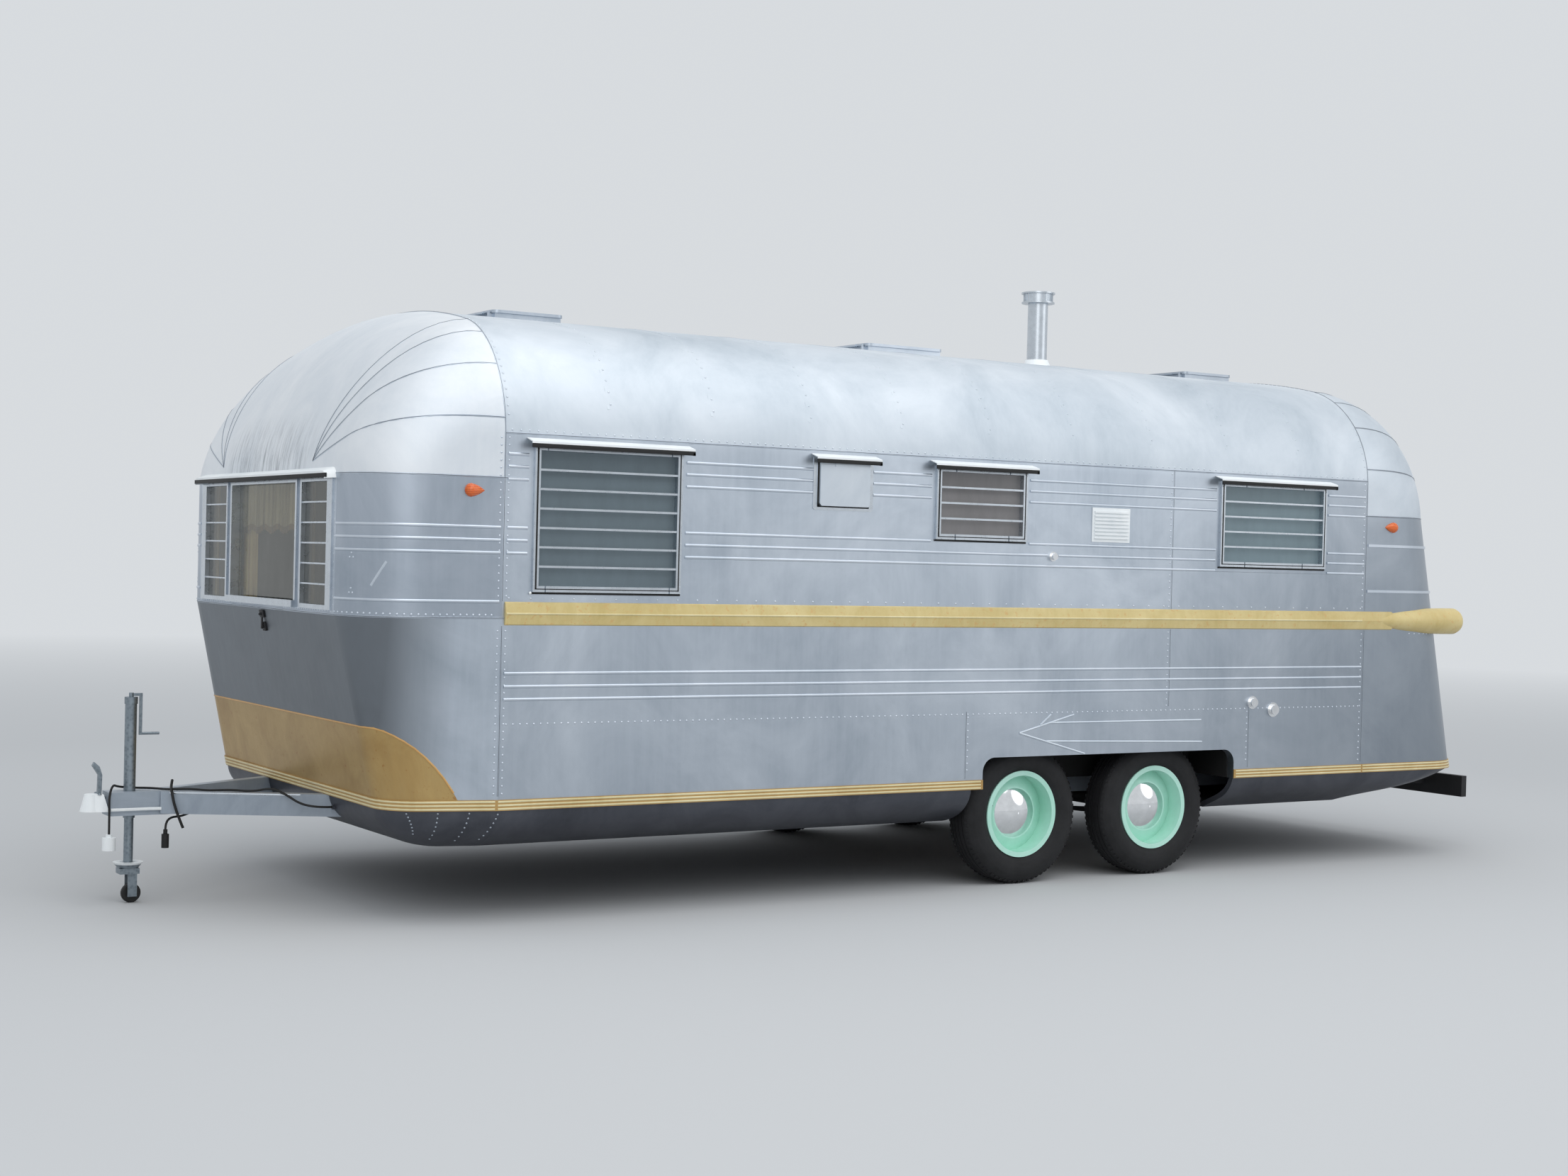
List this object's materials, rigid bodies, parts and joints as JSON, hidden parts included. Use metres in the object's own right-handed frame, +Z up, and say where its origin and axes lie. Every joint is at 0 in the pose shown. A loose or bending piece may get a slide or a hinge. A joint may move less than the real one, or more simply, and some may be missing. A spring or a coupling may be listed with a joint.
{
  "type": "travel caravan",
  "caption": "Round-ended aluminium travel caravan on tandem axles with drawbar, coupler, jockey jack, hinged entrance door, hatch, louvred windows and opening roof vents.",
  "frame": {"origin": "on the floor under the middle of the whole vehicle", "axes": "+X forwards to the coupling, +Y to the left, +Z up"},
  "size_m": [7.6, 2.55, 3.0604],
  "materials": {
    "amber_lens": "ribbed lens",
    "apron_paint": "mottled copper-gold paint",
    "belly_paint": "dull dark grey",
    "black_paint": "chassis black",
    "cable_jacket": "flexible jacket",
    "chrome": "polished",
    "curtain_cloth": "pleated cotton",
    "floor_board": "varnished board",
    "frame_paint": "light grey paint",
    "frame_trim": "satin extrusion",
    "gold_paint": "worn gold paint",
    "jack_rubber": "solid tyre",
    "plug_plastic": "moulded",
    "red_lens": "ribbed lens",
    "rim_paint": "mint green enamel",
    "skin": "weathered satin sheet",
    "tyre_rubber": "weathered",
    "white_paint": "gloss white",
    "white_plastic": "moulded",
    "window_glass": "clear",
    "zinc": "zinc plated"
  },
  "bodies": {
    "root": {"axles": "black_paint", "belly_pans": "belly_paint", "bumper": "black_paint", "cable_plug": "plug_plastic", "cable_tie": "cable_jacket", "chassis": "frame_paint", "chimney": "frame_trim", "coupler": "zinc", "door_fittings": "frame_trim", "filler_caps": "chrome", "floor": "floor_board", "front_apron": "apron_paint", "front_band": "skin", "front_curtains": "curtain_cloth", "front_dome": "skin", "front_nose": "skin", "gold_stripes": "gold_paint", "jack_tube": "zinc", "louvre_vent": "white_paint", "marker_lamps": "amber_lens", "plug_cable": "cable_jacket", "rear_dome": "skin", "rear_panel": "skin", "roof": "skin", "roof_vents": "skin", "side_ribs": "skin", "springs": "black_paint", "tail_lenses": "red_lens", "tow_cable": "cable_jacket", "visors": "frame_trim", "wall_left": "skin", "wall_right": "skin", "wheel_boxes": "black_paint", "white_plug": "white_plastic", "window_frames": "frame_trim", "window_glass": "window_glass"},
    "wheel_front_left": {"tyre_front_left": "tyre_rubber", "rim_front_left": "rim_paint", "hubcap_front_left": "chrome"},
    "wheel_front_right": {"tyre_front_right": "tyre_rubber", "rim_front_right": "rim_paint", "hubcap_front_right": "chrome"},
    "wheel_rear_left": {"tyre_rear_left": "tyre_rubber", "rim_rear_left": "rim_paint", "hubcap_rear_left": "chrome"},
    "wheel_rear_right": {"tyre_rear_right": "tyre_rubber", "rim_rear_right": "rim_paint", "hubcap_rear_right": "chrome"},
    "door": {"door": "skin", "door_glass": "window_glass", "door_stripe": "gold_paint", "door_handle": "chrome"},
    "hatch": {"hatch": "skin"},
    "vent_lid_front": {"vent_lid_front": "skin"},
    "vent_lid_middle": {"vent_lid_middle": "skin"},
    "vent_lid_rear": {"vent_lid_rear": "skin"},
    "jack_leg": {"jack_leg": "zinc"},
    "jack_fork": {"jack_fork": "zinc"},
    "jack_wheel": {"jack_wheel": "jack_rubber"}
  },
  "joints": [
    {"name": "wheel_front_left_spin", "type": "hinge", "parent": "root", "child": "wheel_front_left", "pos_m": [-0.447, 1.045, 0.3435], "axis": [0, 1, 0], "continuous": true},
    {"name": "wheel_front_right_spin", "type": "hinge", "parent": "root", "child": "wheel_front_right", "pos_m": [-0.447, -1.045, 0.3435], "axis": [0, 1, 0], "continuous": true},
    {"name": "wheel_rear_left_spin", "type": "hinge", "parent": "root", "child": "wheel_rear_left", "pos_m": [-1.301, 1.045, 0.3435], "axis": [0, 1, 0], "continuous": true},
    {"name": "wheel_rear_right_spin", "type": "hinge", "parent": "root", "child": "wheel_rear_right", "pos_m": [-1.301, -1.045, 0.3435], "axis": [0, 1, 0], "continuous": true},
    {"name": "door_swing", "type": "hinge", "parent": "root", "child": "door", "pos_m": [1.287, -1.228, 1.16], "axis": [0, 0, 1], "range_deg": [0, 100]},
    {"name": "hatch_lift", "type": "hinge", "parent": "root", "child": "hatch", "pos_m": [0.717, 1.246, 2.012], "axis": [1, 0, 0], "range_deg": [0, 70]},
    {"name": "vent_front_lift", "type": "hinge", "parent": "root", "child": "vent_lid_front", "pos_m": [2.017, 0, 2.68042], "axis": [0, 1, 0], "range_deg": [0, 60]},
    {"name": "vent_middle_lift", "type": "hinge", "parent": "root", "child": "vent_lid_middle", "pos_m": [-0.088, 0, 2.68042], "axis": [0, 1, 0], "range_deg": [0, 60]},
    {"name": "vent_rear_lift", "type": "hinge", "parent": "root", "child": "vent_lid_rear", "pos_m": [-2.278, 0, 2.68042], "axis": [0, 1, 0], "range_deg": [0, 60]},
    {"name": "jack_slide", "type": "slide", "parent": "root", "child": "jack_leg", "axis": [0, 0, 1], "range_m": [-0.05, 0.15]},
    {"name": "jack_swivel", "type": "hinge", "parent": "jack_leg", "child": "jack_fork", "pos_m": [3.59, 0, 0.15], "axis": [0, 0, 1], "continuous": true},
    {"name": "jack_wheel_spin", "type": "hinge", "parent": "jack_fork", "child": "jack_wheel", "pos_m": [3.576, 0, 0.042], "axis": [0, 1, 0], "continuous": true}
  ]
}
